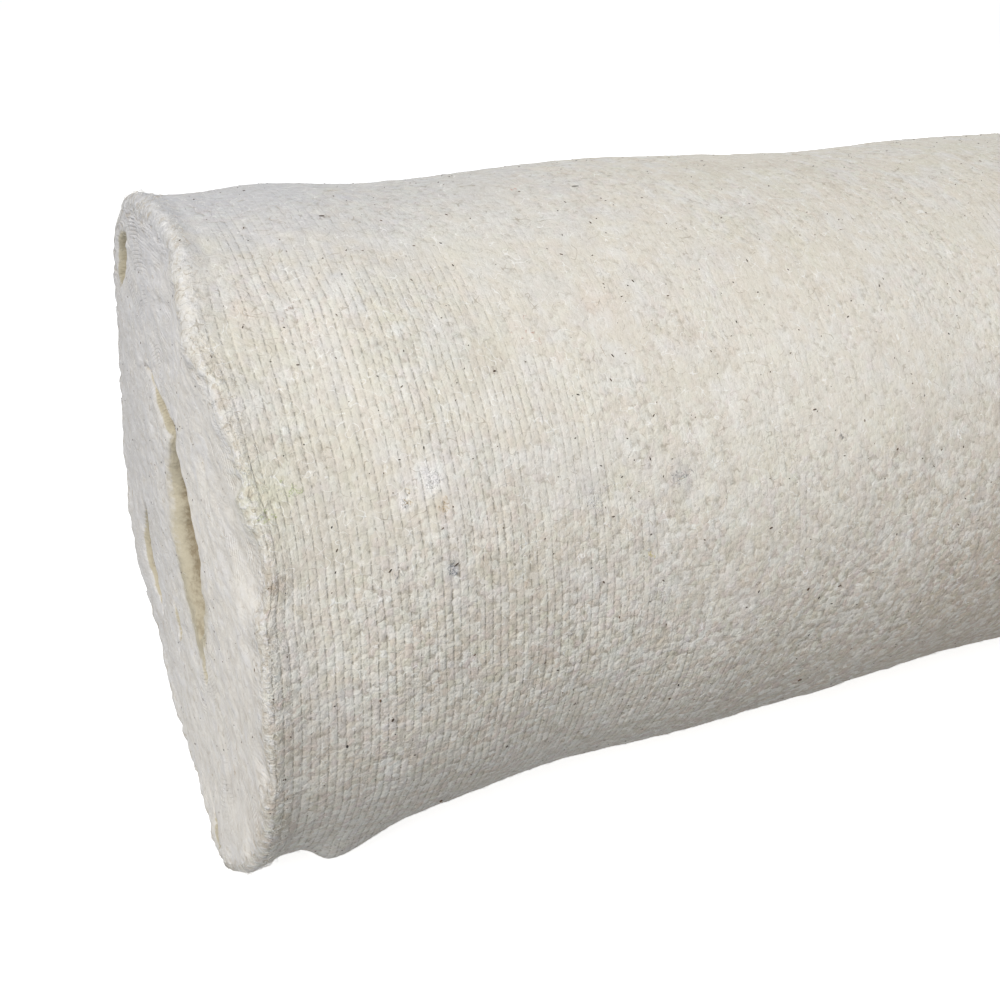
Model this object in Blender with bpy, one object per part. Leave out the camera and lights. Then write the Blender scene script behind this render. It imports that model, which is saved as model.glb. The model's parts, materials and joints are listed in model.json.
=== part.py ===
"""A coreless roll of stitch-bonded cotton cloth, lying on the floor.

The roll's axis runs along X. Its near end, at -X, is the uneven end with the open eye.
Angles go round the axis from the top: 90 degrees is the front (-Y), 180 the floor, 270 the back.
Waves and reliefs are given in millimetres, and every other length in metres.
"""

from collections import namedtuple
from math import cos, pi, radians, sin

import bmesh
import bpy
from mathutils import Vector

MM = 0.001

# The cloth and its winding
RADIUS = 0.220
LENGTH = 0.800
LAP = 0.003
LAP_END_ANGLE = 235
LAP_END_SKEW = 2.5
LAP_EDGE_SPREAD = 0.4
FLAT_HALF_WIDTH = 0.046
RIM_ROUND = 0.005
RIM_FADE = 0.120

# How finely the surfaces are divided
POINTS_AROUND = 72
RIM_STATION_STEP = 0.011
RIM_STATION_END = 0.100
BODY_STATION_STEP = 0.036
FACE_SHARES = (0.94, 0.84, 0.72, 0.60, 0.47, 0.32, 0.16)

# Crests and hollows of the outline along four sides: metres from the near end, millimetres proud
Side = namedtuple("Side", "angle waves")
SIDES = (
    Side(-9, ((0, 2.6), (0.022, -2.8), (0.040, -2.8), (0.080, 0.8), (0.160, -3.6),
              (0.330, 3.2), (0.520, -2.8), (0.680, 1.2), (0.800, -1.0))),
    Side(66, ((0, 1.0), (0.040, -1.4), (0.110, 1.2), (0.230, -1.0), (0.380, 1.6),
              (0.560, -1.4), (0.690, 0.8), (0.800, -0.5))),
    Side(141, ((0, 12.0), (0.024, 6.0), (0.075, 5.2), (0.230, -2.4), (0.330, 1.1),
               (0.390, 0.3), (0.440, 1.0), (0.560, -2.3), (0.690, 0.8), (0.800, 0.5))),
    Side(235, ((0, 1.0), (0.050, -1.0), (0.180, 1.4), (0.350, -1.5), (0.500, 1.5),
               (0.650, -1.2), (0.800, 0.5))),
)

# How far the rim of each end stands into (+) or out of (-) the end's plane: degrees, millimetres
NEAR_RIM = ((0, -2), (18, 2), (40, -7), (52, -1), (74, 7.5), (83, -0.5), (100, -2.5), (120, -3),
            (152, -10), (180, -2), (210, 1), (246, -3), (262, 1), (292, 5.5), (330, 1))
FAR_RIM = ((0, 1), (60, -2), (115, 1.5), (160, -1), (215, 2), (270, -2), (320, 1))

# The pinched fold that hangs from the wrap close to the near end, at the foot of the front
Fold = namedtuple("Fold", "angle spread along near_length far_length height")
PINCHED_FOLD = Fold(angle=147, spread=7.5, along=0.056, near_length=0.011, far_length=0.030,
                    height=13)

# Soft mounds and hollows of the near end's face: degrees, metres from the axis, millimetres out
Mound = namedtuple("Mound", "angle radius spread height")
MOUNDS = (
    Mound(angle=85, radius=0.140, spread=0.050, height=1.5),
    Mound(angle=170, radius=0.130, spread=0.050, height=-2),
    Mound(angle=246, radius=0.190, spread=0.030, height=3),
    Mound(angle=232, radius=0.150, spread=0.035, height=-3),
    Mound(angle=300, radius=0.120, spread=0.050, height=2),
)

# The hollow through the middle: its lens-shaped opening, row by row from the near end
Hollow = namedtuple("Hollow", "along top bottom front back")
HOLLOW = (
    Hollow(-0.030, 0.088, -0.070, -0.082, 0.006),
    Hollow(0.000, 0.081, -0.063, -0.077, 0.001),
    Hollow(0.025, 0.074, -0.058, -0.074, -0.008),
    Hollow(0.090, 0.064, -0.052, -0.067, -0.014),
    Hollow(0.400, 0.056, -0.048, -0.062, -0.018),
    Hollow(0.740, 0.062, -0.052, -0.068, -0.012),
    Hollow(0.800, 0.070, -0.058, -0.074, -0.006),
    Hollow(0.830, 0.076, -0.064, -0.079, 0.000),
)
LENS_TOP_Y = -0.017
LENS_BOTTOM_Y = -0.043
LENS_STEPS = 8

# Gaps where the laps part at the near end's face: bowed slits that taper to both ends, from one
# (y, z) place about the axis to another
Gap = namedtuple("Gap", "name start end bow width depth")
LAP_GAPS = (
    Gap("eye_tail", (0.078, 0.098), (-0.020, 0.080), 0.003, 0.011, 0.030),
    Gap("top_crescent", (0.056, 0.192), (0.130, 0.134), 0.006, 0.018, 0.016),
    Gap("back_crescent", (0.118, -0.026), (0.108, -0.120), 0.024, 0.014, 0.018),
    Gap("low_crescent", (0.053, -0.076), (0.045, -0.112), -0.007, 0.007, 0.010),
    Gap("foot_crescent", (-0.040, -0.205), (-0.085, -0.192), 0.003, 0.006, 0.010),
)
GAP_STEPS = 10
GAP_REACH_OUT = 0.025

CLOTH_COLOUR = (0.78, 0.74, 0.65, 1.0)
CLOTH_ROUGHNESS = 0.95

AXIS_HEIGHT = (RADIUS**2 - FLAT_HALF_WIDTH**2) ** 0.5
NEAR_X = -LENGTH / 2


def clear_scene():
    for thing in list(bpy.data.objects):
        bpy.data.objects.remove(thing)


def swell(rows, at):
    """The value at a place between crests and hollows, level at each of them."""
    if at <= rows[0][0]:
        return rows[0][1]
    for (before, low), (after, high) in zip(rows, rows[1:]):
        if at <= after:
            share = (at - before) / (after - before)
            return low + (high - low) * (1 - cos(pi * share)) / 2
    return rows[-1][1]


def swell_around(rows, angle):
    """The same for rows that close into a ring."""
    turned = (angle - rows[0][0]) % 360 + rows[0][0]
    return swell(rows + ((rows[0][0] + 360, rows[0][1]),), turned)


def fold_height(angle, along):
    fold = PINCHED_FOLD
    aside = ((angle - fold.angle + 180) % 360 - 180) / fold.spread
    length = fold.near_length if along < fold.along else fold.far_length
    away = (along - fold.along) / length
    return fold.height * 2 ** -(aside**2 + away**2)


def wrap_radius(angle, along, turn):
    """The wrap's radius, where turn is the share of the outermost lap unwound so far."""
    proud = swell_around(tuple((side.angle, swell(side.waves, along)) for side in SIDES), angle)
    return RADIUS + (proud + fold_height(angle, along)) * MM + LAP * (0.5 - turn)


def around(along):
    """The angles of one ring, from the cloth's loose end round to the lap under it."""
    start = LAP_END_ANGLE + LAP_END_SKEW * (along / LENGTH - 0.5)
    turns = [step / POINTS_AROUND for step in range(POINTS_AROUND)] + [1 - LAP_EDGE_SPREAD / 360]
    return [(start + 360 * turn, turn) for turn in turns]


def point_at(x, radius, angle):
    """A point about the roll's axis, kept on or above the floor."""
    height = AXIS_HEIGHT + radius * cos(radians(angle))
    return Vector((x, -radius * sin(radians(angle)), max(height, 0)))


def rim_shift(angle, along):
    """How far a ring is pushed along the axis by the uneven rims, fading into the roll."""
    near = swell_around(NEAR_RIM, angle) * max(0, 1 - along / RIM_FADE) ** 2
    far = swell_around(FAR_RIM, angle) * max(0, 1 - (LENGTH - along) / RIM_FADE) ** 2
    return (near - far) * MM


def stations():
    """Places along the wrap as pairs: metres from the near end, and how far the rim is drawn in."""
    round_over = [(RIM_ROUND * (1 - sin(turn)), RIM_ROUND * (1 - cos(turn)))
                  for turn in (pi / 2, pi / 4, 0)]
    rows = list(round_over)
    along = 2 * RIM_ROUND
    while along < LENGTH - 2 * RIM_ROUND:
        rows.append((along, 0))
        along += RIM_STATION_STEP if along < RIM_STATION_END else BODY_STATION_STEP
    rows += [(LENGTH - in_from_end, drawn_in) for in_from_end, drawn_in in reversed(round_over)]
    return rows


def wrap_ring(along, drawn_in):
    ring = []
    for angle, turn in around(along):
        radius = wrap_radius(angle, along, turn) - drawn_in
        ring.append(point_at(NEAR_X + along + rim_shift(angle, along), radius, angle))
    return ring


def mound_height(angle, radius):
    """How far the near end's face stands out at a place, in millimetres."""
    total = 0
    for mound in MOUNDS:
        across = radius * cos(radians(angle)) - mound.radius * cos(radians(mound.angle))
        aside = radius * sin(radians(angle)) - mound.radius * sin(radians(mound.angle))
        total += mound.height * 2 ** -((across**2 + aside**2) / mound.spread**2)
    return total


def face_ring(along, share):
    """One ring of an end's face, at a share of the rim's radius."""
    ring = []
    for angle, turn in around(along):
        radius = (wrap_radius(angle, along, turn) - RIM_ROUND) * share
        shift = rim_shift(angle, along) * share**2
        if along == 0:
            shift -= mound_height(angle, radius) * (1 - share**6) * MM
        ring.append(point_at(NEAR_X + along + shift, radius, angle))
    return ring


def new_object(name, bm):
    bmesh.ops.recalc_face_normals(bm, faces=bm.faces)
    mesh = bpy.data.meshes.new(name)
    bm.to_mesh(mesh)
    bm.free()
    thing = bpy.data.objects.new(name, mesh)
    bpy.context.scene.collection.objects.link(thing)
    return thing


def loft(name, rings):
    """A closed body through a row of rings, capped at both ends."""
    bm = bmesh.new()
    loops = [[bm.verts.new(point) for point in ring] for ring in rings]
    for low, high in zip(loops, loops[1:]):
        for here in range(len(low)):
            after = (here + 1) % len(low)
            bm.faces.new((low[here], low[after], high[after], high[here]))
    bm.faces.new(loops[0])
    bm.faces.new(loops[-1])
    return new_object(name, bm)


def build_roll():
    near_face = [face_ring(0, share) for share in reversed(FACE_SHARES)]
    wrap = [wrap_ring(along, drawn_in) for along, drawn_in in stations()]
    far_face = [face_ring(LENGTH, share) for share in FACE_SHARES]
    roll = loft("fabric_roll", near_face + wrap + far_face)
    roll.data.materials.append(cloth_material())
    return roll


def lens_outline(row):
    """A lens between two arcs that meet at its top and its bottom."""
    top = Vector((LENS_TOP_Y, row.top))
    bottom = Vector((LENS_BOTTOM_Y, row.bottom))
    outline = []
    for step in range(LENS_STEPS):
        share = step / LENS_STEPS
        chord = bottom.lerp(top, share)
        chord.x += (row.back - (LENS_TOP_Y + LENS_BOTTOM_Y) / 2) * sin(pi * share)
        outline.append(chord)
    for step in range(LENS_STEPS):
        share = step / LENS_STEPS
        chord = top.lerp(bottom, share)
        chord.x += (row.front - (LENS_TOP_Y + LENS_BOTTOM_Y) / 2) * sin(pi * share)
        outline.append(chord)
    return outline


def build_hollow_cutter():
    rings = []
    for row in HOLLOW:
        x = NEAR_X + row.along
        rings.append([Vector((x, flat.x, AXIS_HEIGHT + flat.y)) for flat in lens_outline(row)])
    return loft("cutter_hollow", rings)


def gap_outline(gap, x, spread):
    """The gap's outline at one depth: out along its outer edge and back along its inner edge."""
    start = Vector(gap.start)
    end = Vector(gap.end)
    outward = (end - start).orthogonal().normalized()
    if outward.dot(start + end) < 0:
        outward.negate()
    outline = []
    for step in range(2 * GAP_STEPS):
        share = step / GAP_STEPS if step < GAP_STEPS else 2 - step / GAP_STEPS
        half = gap.width / 2 if step < GAP_STEPS else -gap.width / 2
        flat = start.lerp(end, share) + outward * (gap.bow + spread * half) * sin(pi * share)
        outline.append(Vector((x, flat.x, AXIS_HEIGHT + flat.y)))
    return outline


def build_gap_cutter(gap):
    """A wedge that narrows into the roll between two laps."""
    outer = gap_outline(gap, NEAR_X - GAP_REACH_OUT, 1.5)
    mouth = gap_outline(gap, NEAR_X, 1.0)
    inner = gap_outline(gap, NEAR_X + gap.depth, 0.25)
    return loft("cutter_" + gap.name, [outer, mouth, inner])


def cut(body, cutter):
    cutter.hide_render = True
    cutter.display_type = "WIRE"
    boolean = body.modifiers.new(cutter.name, "BOOLEAN")
    boolean.operation = "DIFFERENCE"
    boolean.solver = "EXACT"
    boolean.object = cutter


def cloth_material():
    material = bpy.data.materials.new("unbleached_cotton")
    material.use_nodes = True
    shader = material.node_tree.nodes["Principled BSDF"]
    shader.inputs["Base Color"].default_value = CLOTH_COLOUR
    shader.inputs["Roughness"].default_value = CLOTH_ROUGHNESS
    shader.inputs["Metallic"].default_value = 0
    return material


def main():
    clear_scene()
    roll = build_roll()
    cut(roll, build_hollow_cutter())
    for gap in LAP_GAPS:
        cut(roll, build_gap_cutter(gap))
    roll.data.shade_smooth()
    roll.data.set_sharp_from_angle(angle=radians(40))


main()
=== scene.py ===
"""The looks of a coreless roll of stitch-bonded cotton cloth that lies on the floor.

The roll's axis runs along X, with its uneven open end at -X. Angles go round the axis from the
top: 90 degrees is the front (-Y), 180 the floor, 270 the back. A place on the wrap is given by
how far along the roll it is from the near end, and by its turn: the share of the outermost lap
from the cloth's loose end. Waves and reliefs are in millimetres, and other lengths in metres.
"""

import json
from collections import namedtuple
from math import pi, radians

import bmesh
import bpy
import numpy as np
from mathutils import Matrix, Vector

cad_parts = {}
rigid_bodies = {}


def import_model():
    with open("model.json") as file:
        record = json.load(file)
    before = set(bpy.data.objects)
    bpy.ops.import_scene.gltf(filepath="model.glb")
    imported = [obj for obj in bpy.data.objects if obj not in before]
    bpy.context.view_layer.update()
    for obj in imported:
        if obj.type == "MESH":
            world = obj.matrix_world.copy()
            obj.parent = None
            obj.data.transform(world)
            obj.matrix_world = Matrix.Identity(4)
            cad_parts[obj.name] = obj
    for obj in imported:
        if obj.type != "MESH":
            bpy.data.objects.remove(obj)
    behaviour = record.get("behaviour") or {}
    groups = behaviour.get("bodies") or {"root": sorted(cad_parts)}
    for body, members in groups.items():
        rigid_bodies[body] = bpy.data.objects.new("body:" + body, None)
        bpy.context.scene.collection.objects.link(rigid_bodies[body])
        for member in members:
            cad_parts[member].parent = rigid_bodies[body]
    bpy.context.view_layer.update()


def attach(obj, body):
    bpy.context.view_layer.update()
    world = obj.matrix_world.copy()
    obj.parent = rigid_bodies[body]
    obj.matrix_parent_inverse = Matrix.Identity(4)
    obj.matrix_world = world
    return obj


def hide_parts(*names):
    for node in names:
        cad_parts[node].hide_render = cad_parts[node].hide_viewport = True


MM = 0.001

# The cloth and its winding
RADIUS = 0.220
LENGTH = 0.800
LAP = 0.003
LAP_END_ANGLE = 235
LAP_END_SKEW = 2.5
LAP_EDGE_SPREAD = 0.4
FLAT_HALF_WIDTH = 0.046
RIM_FADE = 0.045
EDGE_FADE = 0.012
AXIS_HEIGHT = (RADIUS**2 - FLAT_HALF_WIDTH**2) ** 0.5
GIRTH = 2 * pi * RADIUS
NEAR_X = -LENGTH / 2

# The rows of stitches: how wide a rib is, and how deep the stitches pull the cloth in
RIB = 0.005
RIB_COUNT = round(LENGTH / RIB)
RIB_POINTS = (0, 0.11, 0.36, 0.64, 0.89)
GROOVE_DEPTH = 0.34
GROOVE_REACH = 0.24
RIB_WANDER = 0.0009
WRAP_PIECES = 4

# How finely the surfaces are divided
POINTS_AROUND = 300
FACE_ROWS = 110
FAR_FACE_ROWS = 28
HOLLOW_ALONG = (0.780, 0.740, 0.68, 0.60, 0.50, 0.40, 0.30, 0.22, 0.16, 0.12, 0.09, 0.07, 0.055,
                0.044, 0.036, 0.030, 0.025, 0.021, 0.017)

# Crests and hollows of the outline along four sides: metres from the near end, millimetres proud
Side = namedtuple("Side", "angle waves")
SIDES = (
    Side(-9, ((0, 2.0), (0.022, -2.0), (0.040, -2.2), (0.080, 0.8), (0.160, -3.6),
              (0.330, 3.2), (0.520, -2.8), (0.680, 1.2), (0.800, -1.0))),
    Side(66, ((0, 1.0), (0.040, -1.4), (0.110, 1.2), (0.230, -1.0), (0.380, 1.6),
              (0.560, -1.4), (0.690, 0.8), (0.800, -0.5))),
    Side(141, ((0, 12.0), (0.024, 6.0), (0.075, 5.2), (0.230, -2.4), (0.330, 1.1),
               (0.390, 0.3), (0.440, 1.0), (0.560, -2.3), (0.690, 0.8), (0.800, 0.5))),
    Side(235, ((0, 1.0), (0.050, -1.0), (0.180, 1.4), (0.350, -1.5), (0.500, 1.5),
               (0.650, -1.2), (0.800, 0.5))),
)

# How far the rim of each end stands into (+) or out of (-) the end's plane: degrees, millimetres
NEAR_RIM = ((0, -2), (18, 2), (40, -7), (52, -1), (74, 7.5), (83, -0.5), (100, -2.5), (120, -3),
            (152, -10), (180, -2), (210, 1), (246, -3), (262, 1), (292, 5.5), (330, 1))
NEAR_EDGE = (
    (0, -2), (11, 0), (18, 2.3), (27, -2.7), (33, -6), (40, -7.1), (47, -0.6), (53, -0.4),
    (57, 2.2), (61.5, 5.3), (63.5, 0.7), (66, 1.4), (70, 7), (74, 8), (78.5, 6.3), (80.5, -0.7),
    (89, 0.1), (93, -1.9), (101, -2.4), (107, 1), (114, -3), (119, -1.9), (126, -4.7),
    (152, -10), (164, -7.7), (171, -5.6), (191, 0), (207, -1.7), (222, 1), (246, -3), (266, 0.5),
    (276, 3.5), (292, 5.8), (330, 1),
)
FAR_RIM = ((0, 1), (60, -2), (115, 1.5), (160, -1), (215, 2), (270, -2), (320, 1))

# How far the wrap rounds over to each end: degrees, millimetres
NEAR_ROUNDING = ((0, 11), (22, 9), (48, 6), (118, 6), (160, 8), (250, 8), (330, 11))
FAR_ROUNDING = 5

# The pinched fold that hangs from the wrap close to the near end, at the foot of the front
Fold = namedtuple("Fold", "angle spread along near_length far_length height")
PINCHED_FOLD = Fold(angle=147, spread=7.5, along=0.056, near_length=0.011, far_length=0.030,
                    height=13)

# Soft mounds and hollows of the near end's face: degrees, metres from the axis, millimetres out
Mound = namedtuple("Mound", "angle radius spread height")
MOUNDS = (
    Mound(angle=85, radius=0.140, spread=0.050, height=1.5),
    Mound(angle=170, radius=0.130, spread=0.050, height=-2),
    Mound(angle=246, radius=0.190, spread=0.030, height=3),
    Mound(angle=232, radius=0.150, spread=0.035, height=-3),
    Mound(angle=300, radius=0.120, spread=0.050, height=2),
)

# The hollow through the middle: its lens-shaped opening, row by row from the near end
Hollow = namedtuple("Hollow", "along top bottom front back")
HOLLOW = (
    Hollow(0.000, 0.081, -0.063, -0.077, 0.001),
    Hollow(0.025, 0.074, -0.058, -0.074, -0.008),
    Hollow(0.090, 0.064, -0.052, -0.067, -0.014),
    Hollow(0.400, 0.056, -0.048, -0.062, -0.018),
    Hollow(0.740, 0.062, -0.052, -0.068, -0.012),
    Hollow(0.800, 0.070, -0.058, -0.074, -0.006),
)
LENS_TOP_Y = -0.017
LENS_BOTTOM_Y = -0.043

# The hollow's lip, how far it rounds in and how much painted shade darkens it: degrees, then
# millimetres or a share, and how far the painted shade reaches
LIP_ROUNDING = ((0, 4), (90, 2.5), (180, 5), (240, 12), (300, 12), (340, 7))
LIP_SHADE = ((0, 0.05), (60, 0), (150, 0.20), (185, 0.62), (215, 0.62), (245, 0.25),
               (290, 0.18), (330, 0.05))
LIP_SHADE_REACH = 0.016

# Gaps where the laps part at the near end's face: bowed slits from one (y, z) place about the axis to
# another, that taper to both ends, or hardly to the second where open_end is high; shade is how much
# painted shade darkens each gap
Gap = namedtuple("Gap", "name start end bow width depth open_end shade")
LAP_GAPS = (
    Gap("eye_tail", (0.052, 0.102), (-0.030, 0.071), 0.002, 0.012, 0.026, 0.85, 0.7),
    Gap("top_crescent", (0.058, 0.191), (0.130, 0.134), 0.005, 0.018, 0.010, 0, 0.55),
    Gap("back_crescent", (0.118, -0.026), (0.108, -0.120), 0.024, 0.014, 0.018, 0, 0.8),
    Gap("low_crescent", (0.053, -0.076), (0.045, -0.112), -0.007, 0.010, 0.010, 0, 0.6),
    Gap("eye_foot", (-0.050, -0.060), (-0.046, -0.100), 0.001, 0.012, 0.004, 0, 0.4),
    Gap("foot_crescent", (-0.048, -0.190), (-0.090, -0.200), 0.002, 0.007, 0.010, 0, 0.8),
)

# How deep inside a gap or the hollow the cloth's tan and painted shade are at their darkest, and how
# far from the rims it is frayed
SHADE_DEPTH = 0.013
FRAYED_RIM = 0.010

# The ends: how many lap lines they show, how fluffy and how clumpy they are, and how far the
# near one's felt is drawn out sideways
FACE_LAPS = 56
FACE_FLUFF = 0.32
NEAR_CLUMPY = 0.60
FAR_CLUMPY = 0.45
FACE_STRETCH = 2.0

# Where handling has felted the ribs over, how far behind the near rim they begin, how wide the
# smooth rim is, and how clumpy the felt is: degrees, then metres or a share
FELTED_FROM = ((0, 0.02), (18, 0.05), (36, 0.12), (60, 0.17), (90, 0.22), (125, 0.33), (180, 0.50),
               (240, 0.45), (300, 0.25), (335, 0.05))
RIBS_FROM = ((0, 0.045), (22, 0.035), (40, 0.008), (55, 0.002), (140, 0.002), (170, 0.010),
             (250, 0.012), (330, 0.040))
CALM_RIM = ((0, 0.022), (25, 0.014), (45, 0.002), (150, 0.002), (230, 0.010), (330, 0.020))
CLUMPY = ((0, 0.35), (45, 0.36), (65, 0.50), (80, 0.75), (97, 1.0), (180, 1.0), (240, 0.7),
          (300, 0.4))
FELTED_UNTIL = 0.66
FELTED_FADE = 0.11

# Pale hues that drift over the cloth: how large their patches are, where they start to show in
# the noise, and how strongly they tint
Hue = namedtuple("Hue", "seed size start full strength colour")
BASE_COLOUR = (0.800, 0.758, 0.670)
# The smooth felt's painted light and shade: a bluer shaded copy towards the back and top, a warmer
# lit copy towards the front
SHADED_FELT = (0.665, 0.670, 0.680)
LIT_FELT = (0.910, 0.885, 0.820)
FELT_LIGHT_AND_SHADE = 0.60
HUES = (
    Hue(51, 0.090, -0.20, 0.60, 0.50, (0.80, 0.77, 0.695)),
    Hue(52, 0.030, 0.10, 0.60, 0.20, (0.80, 0.725, 0.645)),
    Hue(53, 0.026, 0.15, 0.60, 0.28, (0.745, 0.735, 0.60)),
    Hue(54, 0.022, 0.15, 0.60, 0.40, (0.765, 0.755, 0.745)),
    Hue(55, 0.012, 0.25, 0.70, 0.32, (0.66, 0.60, 0.50)),
    Hue(56, 0.010, 0.20, 0.65, 0.60, (0.86, 0.85, 0.82)),
)

# Darker and paler streaks of the smooth felt: the seed of their noise, and their colour
STREAKS = ((63, (0.66, 0.63, 0.57)), (64, (0.84, 0.84, 0.85)))

# Stains, bright tufts and painted shade: degrees, metres from the near end, metres across
StainAndShade = namedtuple("StainAndShade", "angle along size strength colour")
STAINS_AND_SHADE = (
    # These two are painted shade: the top greyer and bluer where less light falls
    StainAndShade(3, 0.050, 0.095, 0.80, (0.64, 0.65, 0.69)),
    StainAndShade(2, 0.190, 0.100, 0.50, (0.68, 0.69, 0.71)),
    # These three are painted shade: the underside darker towards the floor
    StainAndShade(125, 0.120, 0.120, 0.55, (0.60, 0.55, 0.48)),
    StainAndShade(128, 0.360, 0.155, 0.75, (0.60, 0.545, 0.465)),
    StainAndShade(126, 0.600, 0.160, 0.85, (0.585, 0.510, 0.415)),
    # Painted shade: the back of the near end darker where it curves away from the light
    StainAndShade(297, 0, 0.130, 0.40, (0.52, 0.52, 0.53)),
    StainAndShade(147, 0, 0.050, 0.40, (0.66, 0.64, 0.60)),
    StainAndShade(118, 0.014, 0.032, 0.50, (0.60, 0.54, 0.455)),
    StainAndShade(28, 0.170, 0.045, 0.35, (0.88, 0.86, 0.77)),
    # These three are painted shade: a darker band along the front below its middle
    StainAndShade(92, 0.150, 0.060, 0.45, (0.62, 0.57, 0.475)),
    StainAndShade(88, 0.380, 0.060, 0.35, (0.62, 0.57, 0.475)),
    StainAndShade(105, 0.520, 0.070, 0.40, (0.60, 0.52, 0.42)),
    StainAndShade(63, 0.360, 0.070, 0.50, (0.88, 0.85, 0.78)),
    StainAndShade(70, 0.035, 0.050, 0.60, (0.68, 0.645, 0.57)),
    StainAndShade(48, 0.510, 0.070, 0.45, (0.88, 0.85, 0.78)),
    StainAndShade(58, 0.220, 0.035, 0.35, (0.88, 0.85, 0.76)),
    StainAndShade(100, 0.020, 0.018, 0.50, (0.60, 0.54, 0.46)),
    StainAndShade(69.1, 0.109, 0.006, 0.45, (0.72, 0.60, 0.42)),
    StainAndShade(67.5, 0.089, 0.005, 0.45, (0.72, 0.61, 0.44)),
    StainAndShade(64.0, 0.014, 0.018, 0.50, (0.80, 0.81, 0.62)),
    StainAndShade(78.5, 0.111, 0.006, 0.45, (0.48, 0.50, 0.53)),
    StainAndShade(71.7, 0.264, 0.009, 0.40, (0.52, 0.53, 0.56)),
    StainAndShade(70.5, 0.205, 0.008, 0.35, (0.64, 0.65, 0.69)),
    StainAndShade(65.4, 0.105, 0.009, 0.80, (0.96, 0.96, 0.98)),
    StainAndShade(68.0, 0.088, 0.005, 0.80, (0.96, 0.96, 0.98)),
    StainAndShade(76.0, 0.005, 0.008, 0.60, (0.50, 0.43, 0.34)),
    StainAndShade(83.0, 0.007, 0.007, 0.50, (0.52, 0.46, 0.38)),
    StainAndShade(41.5, 0.236, 0.012, 0.35, (0.82, 0.69, 0.60)),
    StainAndShade(36.0, 0.030, 0.010, 0.35, (0.82, 0.70, 0.60)),
)

# Clumps of coloured or bright fibres: degrees, metres from the near end, metres across
Clump = namedtuple("Clump", "angle along size count colour")
CLUMPS = (
    Clump(63.4, 0.028, 0.0035, 9, (0.50, 0.66, 0.18)),
    Clump(66.5, 0.009, 0.0040, 8, (0.58, 0.70, 0.26)),
    Clump(69.1, 0.109, 0.0040, 12, (0.66, 0.50, 0.27)),
    Clump(67.5, 0.089, 0.0035, 10, (0.68, 0.53, 0.30)),
    Clump(78.7, 0.110, 0.0035, 13, (0.16, 0.19, 0.24)),
    Clump(77.9, 0.080, 0.0015, 4, (0.22, 0.25, 0.30)),
    Clump(71.7, 0.264, 0.0050, 16, (0.26, 0.27, 0.31)),
    Clump(70.2, 0.385, 0.0030, 7, (0.24, 0.24, 0.27)),
    Clump(76.0, 0.006, 0.0035, 10, (0.34, 0.28, 0.20)),
    Clump(104.7, 0.346, 0.0020, 5, (0.25, 0.22, 0.20)),
    Clump(16.5, 0.096, 0.0020, 4, (0.35, 0.26, 0.18)),
    Clump(50.9, 0.159, 0.0010, 2, (0.10, 0.09, 0.09)),
    Clump(11.3, 0.234, 0.0015, 2, (0.70, 0.24, 0.18)),
    Clump(45.2, 0.188, 0.0060, 8, (0.80, 0.50, 0.42)),
    Clump(36.5, 0.052, 0.0060, 7, (0.46, 0.30, 0.22)),
    Clump(83.5, 0.241, 0.0010, 5, (0.85, 0.74, 0.12)),
    Clump(65.4, 0.105, 0.0070, 60, (0.97, 0.97, 0.96)),
    Clump(68.0, 0.088, 0.0035, 22, (0.97, 0.97, 0.96)),
    Clump(73.0, 0.205, 0.0060, 30, (0.95, 0.95, 0.96)),
    Clump(84.0, 0.009, 0.0050, 24, (0.96, 0.95, 0.92)),
    Clump(90.0, 0.250, 0.0080, 36, (0.95, 0.95, 0.95)),
    Clump(88.0, 0.003, 0.0035, 26, (0.97, 0.97, 0.98)),
    Clump(93.0, 0.002, 0.0035, 22, (0.96, 0.96, 0.95)),
    Clump(60.0, 0.003, 0.0040, 22, (0.96, 0.96, 0.94)),
    Clump(101.0, 0.003, 0.0035, 18, (0.95, 0.95, 0.92)),
    Clump(118.0, 0.004, 0.0045, 22, (0.94, 0.93, 0.90)),
)

# The seed specks that stand out: degrees, metres from the near end, length, width, heading
Seed = namedtuple("Seed", "angle along length width heading")
SEEDS = (
    Seed(13, 0.275, 0.0065, 0.0009, 10), Seed(78, 0.113, 0.0040, 0.0008, 35),
    Seed(77, 0.075, 0.0032, 0.0009, 40), Seed(86, 0.207, 0.0022, 0.0011, 120),
    Seed(101, 0.072, 0.0030, 0.0014, 70), Seed(123, 0.393, 0.0040, 0.0018, 30),
    Seed(104, 0.045, 0.0026, 0.0016, 90), Seed(16, 0.096, 0.0040, 0.0010, 0),
    Seed(96, 0.361, 0.0026, 0.0016, 60), Seed(83, 0.327, 0.0032, 0.0011, 20),
    Seed(116, 0.153, 0.0028, 0.0012, 80), Seed(107, 0.010, 0.0024, 0.0018, 0),
    Seed(97, 0.388, 0.0034, 0.0010, 15), Seed(65, 0.367, 0.0034, 0.0009, 10),
    Seed(112, 0.276, 0.0022, 0.0014, 90), Seed(51, 0.158, 0.0022, 0.0012, 0),
    Seed(97, 0.065, 0.0022, 0.0014, 90), Seed(74, 0.429, 0.0022, 0.0012, 50),
    Seed(132, 0.122, 0.0036, 0.0022, 80), Seed(116, 0.274, 0.0020, 0.0015, 0),
)
SMALL_SEEDS = 1500
FACE_SEEDS = 130

# Loose fibres: how many lie on the wrap, at its near rim and on the near face
FIBRES = 3000
RIM_FIBRES = 1250
FACE_FIBRES = 600
FIBRE_POINTS = 7
FIBRE_COLOURS = ((0.94, 0.93, 0.89), (0.88, 0.86, 0.80), (0.56, 0.47, 0.34), (0.72, 0.62, 0.52))
FIBRE_SHARES = (0.55, 0.30, 0.09, 0.06)

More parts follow.
